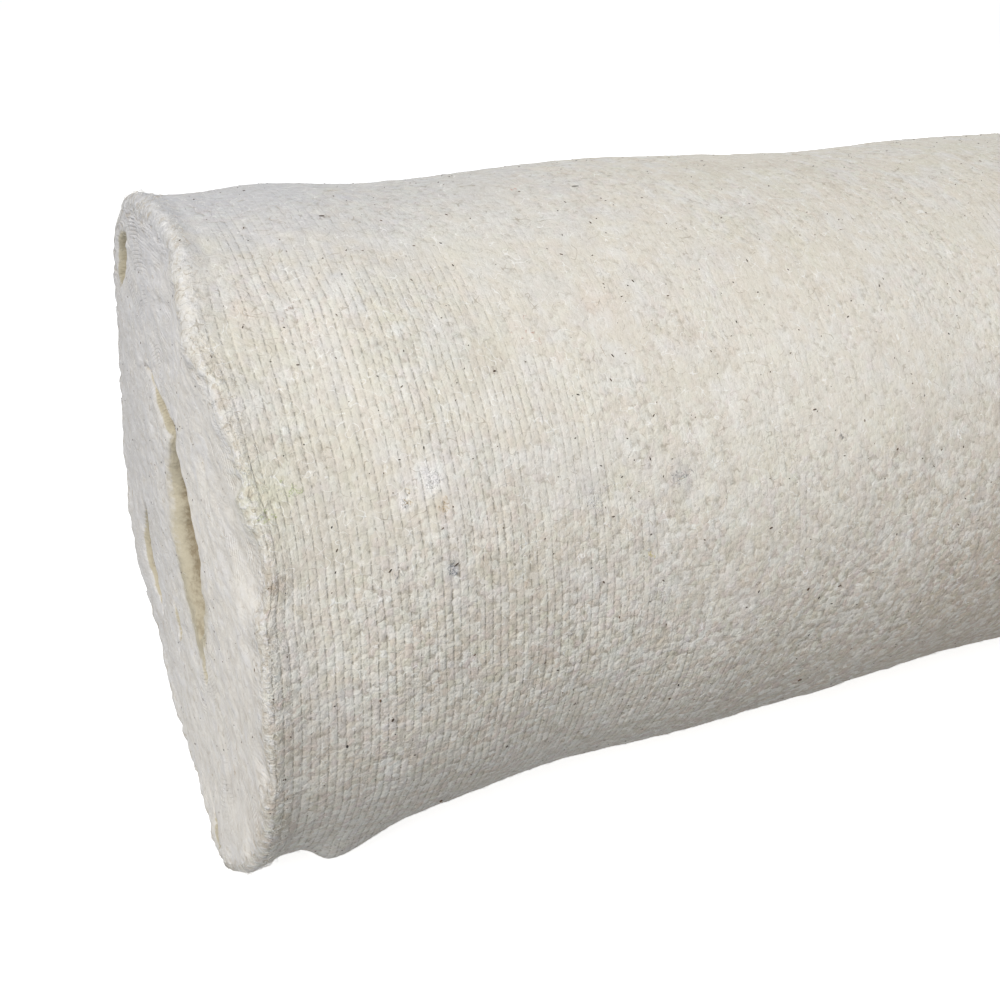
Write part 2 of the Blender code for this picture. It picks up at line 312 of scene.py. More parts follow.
# Colours seen close up
SMALL_PIT_SHADE = (0.42, 0.38, 0.30, 1)
SMALL_TUFT = (0.95, 0.94, 0.91, 1)
SHADE_BETWEEN_CLUMPS = (0.34, 0.30, 0.24, 1)
PALE_TUFT = (0.93, 0.92, 0.90, 1)
PALE_FIBRE = (1.0, 1.0, 0.98, 1)
LIGHT_STRAY = (1.0, 1.0, 0.97, 1)
DARK_STRAY = (0.36, 0.31, 0.23, 1)
LIGHT_FLUFF = (0.84, 0.84, 0.85, 1)
DARK_FLUFF = (0.52, 0.46, 0.37, 1)
LAP_LINE = (0.45, 0.41, 0.33, 1)
STITCH_THREAD_SHADE = (0.30, 0.27, 0.20, 1)
# Tan and painted shade inside the gaps and the hollow
PALE_TAN_SHADE = (0.60, 0.55, 0.425, 1)
DEEP_TAN_SHADE = (0.33, 0.275, 0.19, 1)
BLACK_SEED = (0.035, 0.030, 0.028, 1)
BROWN_SEED = (0.15, 0.10, 0.065, 1)

# The floor's outline from its middle outwards: metres from the middle, metres high
FLOOR_SWEEP = ((0.01, 0), (2, 0), (8, 0), (20, 0), (30, 0), (38, 1.5), (46, 6), (53, 14), (58, 25),
               (61, 38), (62, 60))
FLOOR_POINTS_AROUND = 96
FLOOR_GREY = (0.93, 0.93, 0.93, 1)
FLOOR_WHITE = (0.95, 0.95, 0.95, 1)
FLOOR_GLOW = 0.66

# The soft light all round, and the lamps
SKY_COLOUR = (0.95, 0.97, 1.0, 1)
SKY_STRENGTH = 0.385
Lamp = namedtuple("Lamp", "name place size power colour")
LAMPS = (
    Lamp("key", (-3.0, -2.9, 3.2), 3.0, 184, (1.0, 0.97, 0.93)),
    Lamp("back_fill", (3.1, 3.2, 1.4), 2.5, 52, (0.90, 0.94, 1.0)),
)
LAMPS_POINT_AT = (0, 0, 0.2)

# The camera
CAMERA_PLACE = (-0.5268, -0.7746, 0.3458 + AXIS_HEIGHT)
CAMERA_AZIMUTH = -25.542
CAMERA_ELEVATION = 23.268
CAMERA_LENS = 44.1


def smooth_step(low, high, value):
    share = np.clip((value - low) / (high - low), 0, 1)
    return share * share * (3 - 2 * share)


def swell(rows, at):
    """The values at some places between crests and hollows, level at each of them."""
    places = np.array([row[0] for row in rows])
    values = np.array([row[1] for row in rows])
    at = np.clip(at, places[0], places[-1])
    before = np.clip(np.searchsorted(places, at, side="right") - 1, 0, len(rows) - 2)
    share = (at - places[before]) / (places[before + 1] - places[before])
    return values[before] + (values[before + 1] - values[before]) * (1 - np.cos(pi * share)) / 2


def swell_around(rows, angle):
    """The same for rows that close into a ring."""
    turned = (angle - rows[0][0]) % 360 + rows[0][0]
    return swell(rows + ((rows[0][0] + 360, rows[0][1]),), turned)


def lumps(across, around, size, seed):
    """Smooth random heights from -1 to 1, in lumps of one size."""
    heights = np.random.default_rng(seed).uniform(-1, 1, (251, 257))
    column = across / size
    row = around / size
    left = np.floor(column).astype(int)
    low = np.floor(row).astype(int)
    share = smooth_step(0, 1, column - left)
    rise = smooth_step(0, 1, row - low)

    def height(right, up):
        return heights[(left + right) % 251, (low + up) % 257]

    bottom = height(0, 0) * (1 - share) + height(1, 0) * share
    top = height(0, 1) * (1 - share) + height(1, 1) * share
    return bottom * (1 - rise) + top * rise


def patches(points, size, seed):
    """Smooth random values from -1 to 1 all through space, in patches of one size."""
    values = np.random.default_rng(seed).uniform(-1, 1, (61, 61, 61))
    cell = np.floor(points / size).astype(int)
    share = smooth_step(0, 1, points / size - cell)
    total = 0
    for corner in np.ndindex(2, 2, 2):
        weight = np.where(corner, share, 1 - share).prod(axis=-1)
        column, row, layer = np.moveaxis((cell + corner) % 61, -1, 0)
        total = total + weight * values[column, row, layer]
    return total


def tint(points, calm, edge):
    """The cloth's colour at each point, from its hues, its smooth felt with painted light and shade,
    its stains and painted shade, and painted shade along the rim's crease.
    """
    colour = np.broadcast_to(BASE_COLOUR, points.shape).copy()

    def stain_and_shade(share, other):
        colour[...] += share[..., None] * (np.array(other) - colour)

    for hue in HUES:
        amount = patches(points, hue.size, hue.seed) + 0.35 * patches(points, 0.4 * hue.size, 62)
        stain_and_shade(hue.strength * smooth_step(hue.start, hue.full, amount), hue.colour)
    # Painted light and shade: the smooth felt bluer and darker towards the back and top, warmer and
    # lighter towards the front
    shaded_side = smooth_step(-0.11, 0.11, points[..., 1] + 0.3 * (points[..., 2] - AXIS_HEIGHT))
    stain_and_shade(FELT_LIGHT_AND_SHADE * calm * shaded_side, SHADED_FELT)
    stain_and_shade(FELT_LIGHT_AND_SHADE * calm * (1 - shaded_side), LIT_FELT)
    squashed = points * (1, 1 / FACE_STRETCH, 1)
    for seed, other in STREAKS:
        amount = patches(squashed, 0.008, seed) + 0.6 * patches(squashed, 0.0035, seed)
        stain_and_shade(0.55 * calm * smooth_step(0.10, 0.85, amount), other)
    uneven = patches(points, 0.006, 61)
    for mark in STAINS_AND_SHADE:
        turn = (mark.angle - angle_of(mark.along, 0)) / 360 % 1
        centre = wrap_points(np.array(mark.along), np.array(turn))
        away = np.linalg.norm(points - centre, axis=-1) / mark.size * (1 + 0.5 * uneven)
        stain_and_shade(mark.strength * np.exp(-away**2), mark.colour)
    # Painted shade: darker along the crease where the skin rounds over at the edge
    return colour * (1 - 0.14 * edge * (1 + 0.4 * uneven))[..., None]


def angle_of(along, turn):
    return LAP_END_ANGLE + LAP_END_SKEW * (along / LENGTH - 0.5) + 360 * turn


def fold_height(angle, along):
    fold = PINCHED_FOLD
    aside = ((angle - fold.angle + 180) % 360 - 180) / fold.spread
    away = (along - fold.along) / np.where(along < fold.along, fold.near_length, fold.far_length)
    return fold.height * 2 ** -(aside**2 + away**2)


def felting(along, turn):
    """How far the ribs are felted over, from 0 to 1."""
    angle = angle_of(along, turn)
    start = swell_around(FELTED_FROM, angle)
    felted = smooth_step(start - FELTED_FADE, start + FELTED_FADE, along)
    felted *= 1 - smooth_step(FELTED_UNTIL - FELTED_FADE, FELTED_UNTIL + FELTED_FADE, along)
    uneven = lumps(along, GIRTH * turn, 0.030, 11)
    ribs_from = swell_around(RIBS_FROM, angle)
    at_rim = 1 - smooth_step(0.4 * ribs_from, 1.1 * ribs_from, along)
    return np.clip(felted + 0.35 * uneven + 0.9 * at_rim, 0, 1)


def calmness(along, turn):
    """How smooth the felt is towards the two rims, from 0 to 1."""
    from_rim = np.minimum(along, LENGTH - along)
    edge = swell_around(CALM_RIM, angle_of(along, turn))
    edge = edge * (1 + 0.4 * lumps(along, GIRTH * turn, 0.010, 19))
    return 1 - smooth_step(0.4 * edge, 1.6 * edge, from_rim)


def clumpiness(along, turn):
    """How clumpy the felt is, from 0 to 1.2."""
    clumpy = swell_around(CLUMPY, angle_of(along, turn))
    clumpy = clumpy + 0.25 * lumps(along, GIRTH * turn, 0.035, 26)
    return np.clip(clumpy, 0.1, 1.2) * (1 - 0.7 * calmness(along, turn))


def rib_relief(along, turn):
    """The ribs and lumps of the wrap's surface, in millimetres."""
    around = GIRTH * turn
    felted = felting(along, turn)
    clumpy = clumpiness(along, turn)
    place = along / RIB % 1
    to_groove = np.minimum(place, 1 - place)
    groove = np.clip(1 - to_groove / GROOVE_REACH, 0, 1) ** 1.6
    tension = 0.75 + 0.60 * lumps(along, around, 0.009, 12)
    height = -GROOVE_DEPTH * tension * groove * (1 - 0.85 * felted)
    height += (0.10 + 0.28 * clumpy) * lumps(along, around, 0.0065, 13)
    height += (0.12 + 0.42 * clumpy * felted) * lumps(along, around, 0.011, 14)
    height += (0.25 + 0.35 * clumpy) * lumps(along, around, 0.028, 15)
    height += 0.80 * lumps(along, around, 0.075, 16)
    return height


def rounding(radius, distance):
    """How far a rounded edge falls away at some distance from its end, in metres."""
    inside = np.clip(radius - distance, 0, None)
    return radius - np.sqrt(radius**2 - inside**2)


def rim_rounding(angle, along):
    """How far the wrap is drawn in where it rounds over to each end, in metres."""
    near = rounding(swell_around(NEAR_ROUNDING, angle) * MM, along)
    return near + rounding(FAR_ROUNDING * MM, LENGTH - along)


def rim_shift(angle, along):
    """How far a place is pushed along the axis by the uneven rims, fading into the roll."""
    near = swell_around(NEAR_RIM, angle) * np.clip(1 - along / RIM_FADE, 0, 1) ** 2
    edge = swell_around(NEAR_EDGE, angle) - swell_around(NEAR_RIM, angle)
    near = near + edge * np.clip(1 - along / EDGE_FADE, 0, 1) ** 2
    far = swell_around(FAR_RIM, angle) * np.clip(1 - (LENGTH - along) / RIM_FADE, 0, 1) ** 2
    return (near - far) * MM


def wrap_points(along, turn, lift=0.0):
    """Points on the wrap, or some way above it."""
    angle = angle_of(along, turn)
    around = GIRTH * turn
    proud = fold_height(angle, along) + rib_relief(along, turn)
    for side in SIDES:
        nearness = tuple((other.angle, float(other is side)) for other in SIDES)
        proud = proud + swell_around(nearness, angle) * swell(side.waves, along)
    radius = RADIUS + proud * MM + LAP * (0.5 - turn) - rim_rounding(angle, along) + lift
    wander = RIB_WANDER * lumps(along * 0.4, around, 0.024, 17)
    frayed = 0.9 * lumps(along * 0, around, 0.008, 18) + 0.7 * lumps(along * 0, around, 0.005, 27)
    frayed = frayed * MM * np.clip(1 - along / FRAYED_RIM, 0, 1)
    x = NEAR_X + along + rim_shift(angle, along) + wander + frayed
    y = -radius * np.sin(np.radians(angle))
    z = np.maximum(AXIS_HEIGHT + radius * np.cos(np.radians(angle)), 0)
    return np.stack(np.broadcast_arrays(x, y, z), axis=-1)


def lens_points(along, angle):
    """Places (y, z) about the axis, on the edge of the hollow."""
    rows = np.array(HOLLOW)
    top, bottom, front, back = (np.interp(along, rows[:, 0], rows[:, n]) for n in range(1, 5))
    round_about = angle % 360
    down = np.where(round_about < 180, round_about / 180, 2 - round_about / 180)
    side = np.where(round_about < 180, front, back)
    middle = (LENS_TOP_Y + LENS_BOTTOM_Y) / 2
    y = LENS_TOP_Y + (LENS_BOTTOM_Y - LENS_TOP_Y) * down + (side - middle) * np.sin(pi * down)
    z = top + (bottom - top) * down
    round_lens = np.sin(pi * down) * np.where(round_about < 180, 0.5, 1)
    y = y + 2.2 * MM * round_lens * lumps(along + 0 * y, z, 0.016, 42)
    return y + 0.5 * MM * round_lens * lumps(along + 0 * y, z, 0.007, 43), z


def mound_height(y, z):
    """How far the near end's face stands out at a place, in millimetres."""
    total = np.zeros_like(y)
    for mound in MOUNDS:
        away_y = y + mound.radius * np.sin(radians(mound.angle))
        away_z = z - mound.radius * np.cos(radians(mound.angle))
        total += mound.height * 2 ** -((away_y**2 + away_z**2) / mound.spread**2)
    return total


def from_lens(along, y, z, angle):
    """How far a place is from the hollow's edge."""
    lens_y, lens_z = lens_points(along, angle)
    return np.hypot(y - lens_y, z - lens_z)


def lip_depth(y, z, angle):
    """How far the near end's face rounds into the hollow at a place, in metres."""
    return rounding(swell_around(LIP_ROUNDING, angle) * MM, from_lens(0.0, y, z, angle))


def across_gap(gap, y, z):
    """How wide open a gap is beside a place, and how far to the gap's front the place is."""
    start = np.array(gap.start)
    run = np.array(gap.end) - start
    outward = np.array((-run[1], run[0])) / np.hypot(*run)
    if outward @ (start + start + run) < 0:
        outward = -outward
    share = ((y - start[0]) * run[0] + (z - start[1]) * run[1]) / (run @ run)
    share = share + 0.02 * lumps(y, z, 0.012, 45)
    bent = np.where(share < 0.5, share, 0.5 + (share - 0.5) * (1 - gap.open_end))
    arch = np.sin(pi * np.clip(bent, 0, 1)) * (1 - smooth_step(1.0, 1.08, share))
    aside = (y - start[0]) * outward[0] + (z - start[1]) * outward[1] - gap.bow * arch
    aside = (aside + 0.0008 * lumps(y, z, 0.011, 46)) / (gap.width / 2 * arch + 1e-6)
    return arch, aside * (1 if outward[0] < 0 else -1)


def gap_depth(y, z):
    """How deep the gaps between the laps are at a place of the near end's face, in metres."""
    deepest = np.zeros_like(y)
    for gap in LAP_GAPS:
        arch, aside = across_gap(gap, y, z)
        slit = 1 - smooth_step(0.35, 1.15, np.abs(aside))
        drawn_in = 1 - smooth_step(0.80, 2.40, np.abs(aside))
        depth = gap.depth * np.sqrt(arch) * (0.88 * slit + 0.12 * drawn_in)
        deepest = np.maximum(deepest, depth)
    return deepest


def gap_shade(y, z):
    """How much tan and painted shade darken the cloth in the gaps, from 0 to 1, with a crisp edge
    towards the front.
    """
    darkest = np.zeros_like(y)
    deep = smooth_step(0, 0.010, gap_depth(y, z))
    for gap in LAP_GAPS:
        arch, aside = across_gap(gap, y, z)
        inside = 1 - np.where(aside < 0, smooth_step(1.0, 1.8, -aside), smooth_step(0.9, 1.2, aside))
        darkest = np.maximum(darkest, gap.shade * arch**0.3 * inside * (0.55 + 0.45 * deep))
    return darkest


def face_places(along, share, turn):
    """Places (y, z) about the axis on an end's face, their rim, and how far out they are."""
    rim = wrap_points(along, turn) - (0, 0, AXIS_HEIGHT)
    lens_y, lens_z = lens_points(along, angle_of(along, turn))
    y = lens_y + (rim[..., 1] - lens_y) * share
    z = lens_z + (rim[..., 2] - lens_z) * share
    return y, z, rim, np.hypot(y, z) / np.hypot(rim[..., 1], rim[..., 2])


def face_points(share, turn, lift=0.0):
    """Points on the near end's face, from the hollow's lip at share 0 to the rim at share 1."""
    angle = angle_of(0.0, turn)
    y, z, rim, outwards = face_places(0.0, share, turn)
    inner = 1 - np.clip(outwards, 0, 1) ** 6
    to_rim = np.hypot(rim[..., 1] - y, rim[..., 2] - z)
    relief = mound_height(y, z) + 1.2 * lumps(y, z, 0.045, 21) + 0.6 * lumps(y, z, 0.018, 22)
    fine = 0.65 * lumps(0.6 * y, z, 0.009, 23) + 0.50 * lumps(0.6 * y, z, 0.005, 24)
    relief = relief * inner + fine * (1 - np.exp(-(to_rim / 0.004) ** 2))
    broad = swell_around(NEAR_RIM, angle) * MM
    x = NEAR_X + broad * np.exp(-(to_rim / RIM_FADE) ** 2) - relief * MM
    x = x + (rim[..., 0] - NEAR_X - broad) * np.exp(-(to_rim / EDGE_FADE) ** 2)
    x = x + lip_depth(y, z, angle) + gap_depth(y, z) * np.clip(3 * inner, 0, 1)
    return np.stack(np.broadcast_arrays(x - lift, y, z + AXIS_HEIGHT), axis=-1)


def far_face_points(share, turn):
    """Points on the far end's face, from the rim at share 1 to the hollow's lip at share 0."""
    y, z, rim, outwards = face_places(LENGTH, share, turn)
    inner = 1 - np.clip(outwards, 0, 1) ** 6
    from_lip = from_lens(LENGTH, y, z, angle_of(LENGTH, turn))
    relief = 1.4 * lumps(y, z, 0.045, 31) + 0.6 * lumps(y, z, 0.018, 32)
    x = -NEAR_X + (rim[..., 0] + NEAR_X) * outwards**2 + relief * inner * MM
    x = x - rounding(FAR_ROUNDING * MM, from_lip)
    return np.stack(np.broadcast_arrays(x, y, z + AXIS_HEIGHT), axis=-1)


def hollow_points(along, turn):
    """Points on the hollow's wall."""
    angle = angle_of(along, turn)
    y, z = lens_points(along, angle)
    x = NEAR_X + along + 0 * y
    away = 0.8 * MM * lumps(along + 0 * y, 0.2 * turn, 0.012, 41)
    return np.stack((x, y + away, z + AXIS_HEIGHT), axis=-1)


def turns():
    """The columns of every surface, from the cloth's loose end round to the lap under it."""
    return np.append(np.arange(POINTS_AROUND) / POINTS_AROUND, 1 - LAP_EDGE_SPREAD / 360)


def add_object(name, data):
    thing = bpy.data.objects.new(name, data)
    bpy.context.scene.collection.objects.link(thing)
    return thing


def add_surface(name, vertices, faces, material):
    mesh = bpy.data.meshes.new(name)
    mesh.from_pydata(vertices.reshape(-1, 3).tolist(), [], faces.tolist())
    mesh.shade_smooth()
    mesh.materials.append(material)
    return add_object(name, mesh)


def add_piece(name, vertices, faces, material):
    """A piece of the roll, attached to the roll's body."""
    piece = add_surface(name, vertices, faces, material)
    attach(piece, "root")
    return piece


def grid_faces(rows, columns):
    """Squares between neighbouring points of a grid whose columns close into a ring."""
    here = np.arange((rows - 1) * columns).reshape(rows - 1, columns)
    after = np.roll(here, -1, axis=1)
    return np.stack((here, after, after + columns, here + columns), axis=-1).reshape(-1, 4)


def add_values(piece, name, values, kind="FLOAT", field="value"):
    """Values for the material to read, one for each point of a piece."""
    attribute = piece.data.attributes.new(name, kind, "POINT")
    attribute.data.foreach_set(field, np.ascontiguousarray(values, np.float32).ravel())


def add_tint(piece, colours):
    opaque = np.concatenate((colours, np.ones(colours.shape[:-1] + (1,))), axis=-1)
    add_values(piece, "tint", opaque, "FLOAT_COLOR", "color")


def add_skin(name, points, material, calm, edge=0.0, stretch=1.0, **numbers):
    """A part of the roll's skin, with the numbers its material reads at each point."""
    rows, columns = points.shape[:2]
    piece = add_piece(name, points, grid_faces(rows, columns), material)
    edges = np.zeros(2 * len(piece.data.edges), np.int32)
    piece.data.edges.foreach_get("vertices", edges)
    column = edges.reshape(-1, 2) % columns
    sharp = (column[:, 0] == column[:, 1]) & np.isin(column[:, 0], (0, columns - 1))
    attribute = piece.data.attributes.new("sharp_edge", "BOOLEAN", "EDGE")
    attribute.data.foreach_set("value", sharp)
    for label, values in numbers.items():
        add_values(piece, label, np.broadcast_to(values, (rows, columns)))
    calm = np.broadcast_to(calm, (rows, columns))
    add_tint(piece, tint(points, calm, np.broadcast_to(edge, (rows, columns))))
    add_values(piece, "grain", points * (1, 1 / stretch, 1), "FLOAT_VECTOR", "vector")
    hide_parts("fabric_roll")


def build_wrap(material):
    places = [rib + point for rib in range(RIB_COUNT) for point in RIB_POINTS] + [RIB_COUNT]
    ribs = np.array(places, float)[:, None]
    along = ribs * RIB
    turn = turns()[None, :]
    points = wrap_points(along, turn)
    calm = calmness(along, turn)
    bare = (1 - felting(along, turn)) * (1 - calm)
    clumpy = clumpiness(along, turn)
    # edge is painted shade along the crease at the near rim
    edge = np.broadcast_to(np.exp(-(along / 0.003) ** 2), calm.shape)
    from_rim = np.minimum(along, LENGTH - along)
    fray = np.exp(-(from_rim / FRAYED_RIM) ** 2)
    rows_each = RIB_COUNT // WRAP_PIECES * len(RIB_POINTS)
    for number in range(WRAP_PIECES):
        rows = slice(number * rows_each, (number + 1) * rows_each + 1)
        add_skin(f"roll_wrap_{number + 1}", points[rows], material, calm[rows], edge[rows],
                 rib=ribs[rows], arc=GIRTH * turn, bare=bare[rows],
                 clumpy=clumpy[rows], soil=0, lap=0.5, fray=fray[rows])


def face_soil(y, z, angle):
    """How much tan and painted shade darken the near end's face: in its gaps, over the hollow's lip
    and around the lip.
    """
    from_lip = from_lens(0.0, y, z, angle)
    # Painted shade over the hollow's lip, darkest towards its bottom
    lip_shade = swell_around(LIP_SHADE, angle) * np.exp(-(from_lip / LIP_SHADE_REACH) ** 2)
    rounded = lip_depth(y, z, angle) / SHADE_DEPTH
    return np.maximum(np.maximum(gap_shade(y, z), rounded), lip_shade)


def build_near_end(material):
    """Builds the near end's face, and gives its lip's points and how much tan and painted shade
    darken them.
    """
    turn = turns()[None, :]
    share = (np.arange(FACE_ROWS + 1) / FACE_ROWS)[:, None]
    points = face_points(share, turn)
    y, z = points[..., 1], points[..., 2] - AXIS_HEIGHT
    soil = face_soil(y, z, angle_of(0.0, turn))
    to_rim = np.hypot(y - y[-1:], z - z[-1:])
    fray = FACE_FLUFF + (1 - FACE_FLUFF) * np.exp(-(to_rim / FRAYED_RIM) ** 2)
    # np.exp(-(to_rim / 0.002) ** 2) is painted shade along the crease at the rim
    add_skin("near_end", points, material, 1, np.exp(-(to_rim / 0.002) ** 2), FACE_STRETCH,
             clumpy=NEAR_CLUMPY, soil=soil, lap=FACE_LAPS * share + turn, fray=fray)
    return points[:1], soil[:1]


def build_far_end(material):
    turn = turns()[None, :]
    share = (1 - np.arange(FAR_FACE_ROWS + 1) / FAR_FACE_ROWS)[:, None]
    add_skin("far_end", far_face_points(share, turn), material, 1, clumpy=FAR_CLUMPY, soil=0,
             lap=FACE_LAPS * share + turn, fray=FACE_FLUFF)


def build_hollow(material, lip, lip_soil):
    """The hollow's wall, from the far end's lip to the near end's."""
    turn = turns()[None, :]
    lip_along = lip[..., 0] - NEAR_X
    rows_to_lip = np.arange(len(HOLLOW_ALONG), 0, -1)[:, None]
    along = np.maximum(np.array(HOLLOW_ALONG)[:, None], lip_along + 0.002 * rows_to_lip)
    wall = np.concatenate((far_face_points(0.0, turn), hollow_points(along, turn), lip))
    from_near = np.concatenate((0 * lip_along + LENGTH, along, 0 * lip_along))
    from_end = np.minimum(from_near, LENGTH - from_near)
    # Painted shade: the hollow's wall darkens as it goes deeper from either end
    soil = np.clip(np.maximum(from_end / SHADE_DEPTH, lip_soil), 0, 1)
    add_skin("open_middle", wall, material, 1, clumpy=FAR_CLUMPY, soil=soil, lap=0.5, fray=0)


def unit(vectors):
    return vectors / np.linalg.norm(vectors, axis=-1, keepdims=True)


def add_fibres(centres, thickness, colours, material):
    """Three-sided tubes that taper to both ends, one along each row of points."""
    count, steps = centres.shape[:2]
    run = unit(np.gradient(centres, axis=-2))
    across = unit(np.cross(run, (0.31, 0.53, 0.79)))
    above = np.cross(run, across)
    taper = np.sqrt(np.sin(pi * np.linspace(0.08, 0.92, steps)))[:, None]
    size = thickness[:, None, None] * taper
    sides = [centres + size * (across * np.cos(turn) + above * np.sin(turn))
             for turn in (0, 2 * pi / 3, 4 * pi / 3)]
    points = np.stack(sides, axis=2)
    first = (np.arange(count) * steps * 3)[:, None, None] + 3 * np.arange(steps - 1)[:, None]
    here = first + np.arange(3)
    after = first + np.array((1, 2, 0))
    squares = np.stack((here, after, after + 3, here + 3), axis=-1).reshape(-1, 4)
    piece = add_piece("loose_fibres", points, squares, material)
    add_tint(piece, np.repeat(colours, 3 * steps, axis=0))


def wandering(rng, start, metres, length, curl):
    """Places along lines that wander over a surface from their starts."""
    count = len(start)
    bend = rng.normal(0, curl, (count, 1)) + rng.normal(0, curl, (count, FIBRE_POINTS))
    heading = rng.uniform(0, 2 * pi, (count, 1)) + np.cumsum(bend, axis=1)
    stride = (length / FIBRE_POINTS)[:, None, None]
    stride = stride * np.stack((np.cos(heading), np.sin(heading)), axis=-1)
    place = start[:, None] + np.cumsum(stride / np.array(metres), axis=1)
    return place[..., 0], place[..., 1]


def lying(rng, count, height):
    """How far fibres stand off the surface along their length."""
    lies = np.sin(pi * np.linspace(0, 1, FIBRE_POINTS))
    return rng.uniform(0.1 * height, height, (count, 1)) * lies + 0.00005


def fibres_on_wrap(rng, count, first, last, longest, height):
    """Fibres that start between two distances from the near end and lie over the wrap."""
    start = rng.uniform((first, 0), (last, 1), (count, 2))
    length = rng.uniform(0.003, longest, count)
    along, turn = wandering(rng, start, (1, GIRTH), length, 0.45)
    return wrap_points(np.clip(along, 0, LENGTH), turn % 0.99, lying(rng, count, height))


def fibres_on_face(rng, count, longest, height):
    start = rng.uniform((0.02, 0), (1, 1), (count, 2))
    length = rng.uniform(0.003, longest, count)
    share, turn = wandering(rng, start, (0.15, 0.9), length, 0.35)
    return face_points(np.clip(share, 0, 1), turn % 0.99, lying(rng, count, height))


def clumped_fibres(rng, clump):
    middle = (clump.along, (clump.angle - angle_of(clump.along, 0)) / 360 % 1)
    start = middle + rng.normal(0, 0.5, (clump.count, 2)) * clump.size / np.array((1, GIRTH))
    length = rng.uniform(0.002, 0.007, clump.count)
    along, turn = wandering(rng, start, (1, GIRTH), length, 0.75)
    return wrap_points(np.clip(along, 0, LENGTH), turn, lying(rng, clump.count, 0.0009))


def build_fibres(material):
    rng = np.random.default_rng(71)
    all_over = fibres_on_wrap(rng, FIBRES, 0.010, LENGTH - 0.010, 0.013, 0.0011)
    at_rim = fibres_on_wrap(rng, RIM_FIBRES, 0, 0.014, 0.010, 0.0022)
    loose = np.concatenate((all_over, at_rim, fibres_on_face(rng, FACE_FIBRES, 0.012, 0.0008)))
    kinds = rng.choice(len(FIBRE_COLOURS), len(loose), p=FIBRE_SHARES)
    centres = [loose] + [clumped_fibres(rng, clump) for clump in CLUMPS]
    colours = [np.array(FIBRE_COLOURS)[kinds]]
    colours += [np.tile(clump.colour, (clump.count, 1)) for clump in CLUMPS]
    centres = np.concatenate(centres)
    thickness = rng.uniform(0.00006, 0.00012, len(centres))
    add_fibres(centres, thickness, np.concatenate(colours), material)


def pebble():
    """A small round body's points and faces, one unit in radius."""
    bm = bmesh.new()
    bmesh.ops.create_icosphere(bm, subdivisions=1, radius=1)
    points = np.array([vert.co[:] for vert in bm.verts])
    faces = np.array([[vert.index for vert in face.verts] for face in bm.faces])
    bm.free()
    return points, faces


def add_seeds(centres, outward, heading, sizes, material):
    """Seeds that lie on a surface, each with its length, width and thickness."""
    points, faces = pebble()
    side = unit(np.cross(outward, (0.05, 0.02, 1.0)))
    up = np.cross(outward, side)
    turned = side * np.cos(heading)[:, None] + up * np.sin(heading)[:, None]
    axes = np.stack((turned, np.cross(outward, turned), outward), axis=1)
    bodies = np.einsum("pk,nk,nkx->npx", points, sizes / 2, axes) + centres[:, None]
    numbers = faces + len(points) * np.arange(len(centres))[:, None, None]
    add_piece("seed_specks", bodies, numbers.reshape(-1, 3), material)


def build_seeds(material):
    rng = np.random.default_rng(81)
    rows = np.array(SEEDS)
    turn = (rows[:, 0] - angle_of(rows[:, 1], 0)) / 360 % 1
    large = wrap_points(rows[:, 1], turn, 0.0003)
    along = rng.uniform(0, LENGTH, SMALL_SEEDS)
    small = wrap_points(along, rng.uniform(0, 1, SMALL_SEEDS), 0.0001)
    on_face = face_points(rng.uniform(0.02, 1, FACE_SEEDS), rng.uniform(0, 1, FACE_SEEDS), 0.0001)
    centres = np.concatenate((large, small, on_face))
    outward = unit(centres * (0, 1, 1) - (0, 0, AXIS_HEIGHT))
    outward[-FACE_SEEDS:] = (-1, 0, 0)
    others = SMALL_SEEDS + FACE_SEEDS
    width = rng.uniform(0.0004, 0.0009, others)
    length = width * rng.uniform(1, 3.2, others)
    length = np.concatenate((rows[:, 2], length))
    width = np.concatenate((rows[:, 3], width))
    heading = np.concatenate((np.radians(rows[:, 4]), rng.uniform(0, pi, others)))
    sizes = np.stack((length, width, 0.6 * width), axis=-1)
    add_seeds(centres, outward, heading, sizes, material)


def add_node(tree, kind, inputs=(), **settings):
    """A node with its settings, and with its inputs as values or as other nodes' outputs."""
    node = tree.nodes.new(kind)
    for name, value in settings.items():
        setattr(node, name, value)
    for socket, value in dict(inputs).items():
        if isinstance(value, bpy.types.NodeSocket):
            tree.links.new(value, node.inputs[socket])
        else:
            node.inputs[socket].default_value = value
    return node


def calculate(tree, operation, first, second=0.0, third=0.0):
    inputs = {0: first, 1: second, 2: third}
    return add_node(tree, "ShaderNodeMath", inputs, operation=operation).outputs[0]


def multiply(tree, first, second):
    return calculate(tree, "MULTIPLY", first, second)


def ease(tree, value, low, high, start=0.0, end=1.0):
    """Goes from start to end as the value goes from low to high."""
    inputs = {"Value": value, "From Min": low, "From Max": high, "To Min": start, "To Max": end}
    node = add_node(tree, "ShaderNodeMapRange", inputs, interpolation_type="SMOOTHSTEP")
    return node.outputs["Result"]


def noise(tree, place, size, detail=2.0, roughness=0.5):
    """Soft random values about 0.5, in patches of one size."""
    inputs = {"Vector": place, "Scale": 1 / size, "Detail": detail, "Roughness": roughness}
    return add_node(tree, "ShaderNodeTexNoise", inputs).outputs[0]


def blend(tree, share, first, second):
    node = add_node(tree, "ShaderNodeMix", {0: share, 6: first, 7: second}, data_type="RGBA")
    return node.outputs[2]


def read(tree, name, output="Fac"):
    return add_node(tree, "ShaderNodeAttribute", attribute_name=name).outputs[output]


def own_place(tree):
    return add_node(tree, "ShaderNodeTexCoord").outputs["Object"]


def new_material(name):
    material = bpy.data.materials.new(name)
    material.use_nodes = True
    tree = material.node_tree
    shader = tree.nodes["Principled BSDF"]
    shader.inputs["Specular IOR Level"].default_value = 0.1
    return material, tree, shader


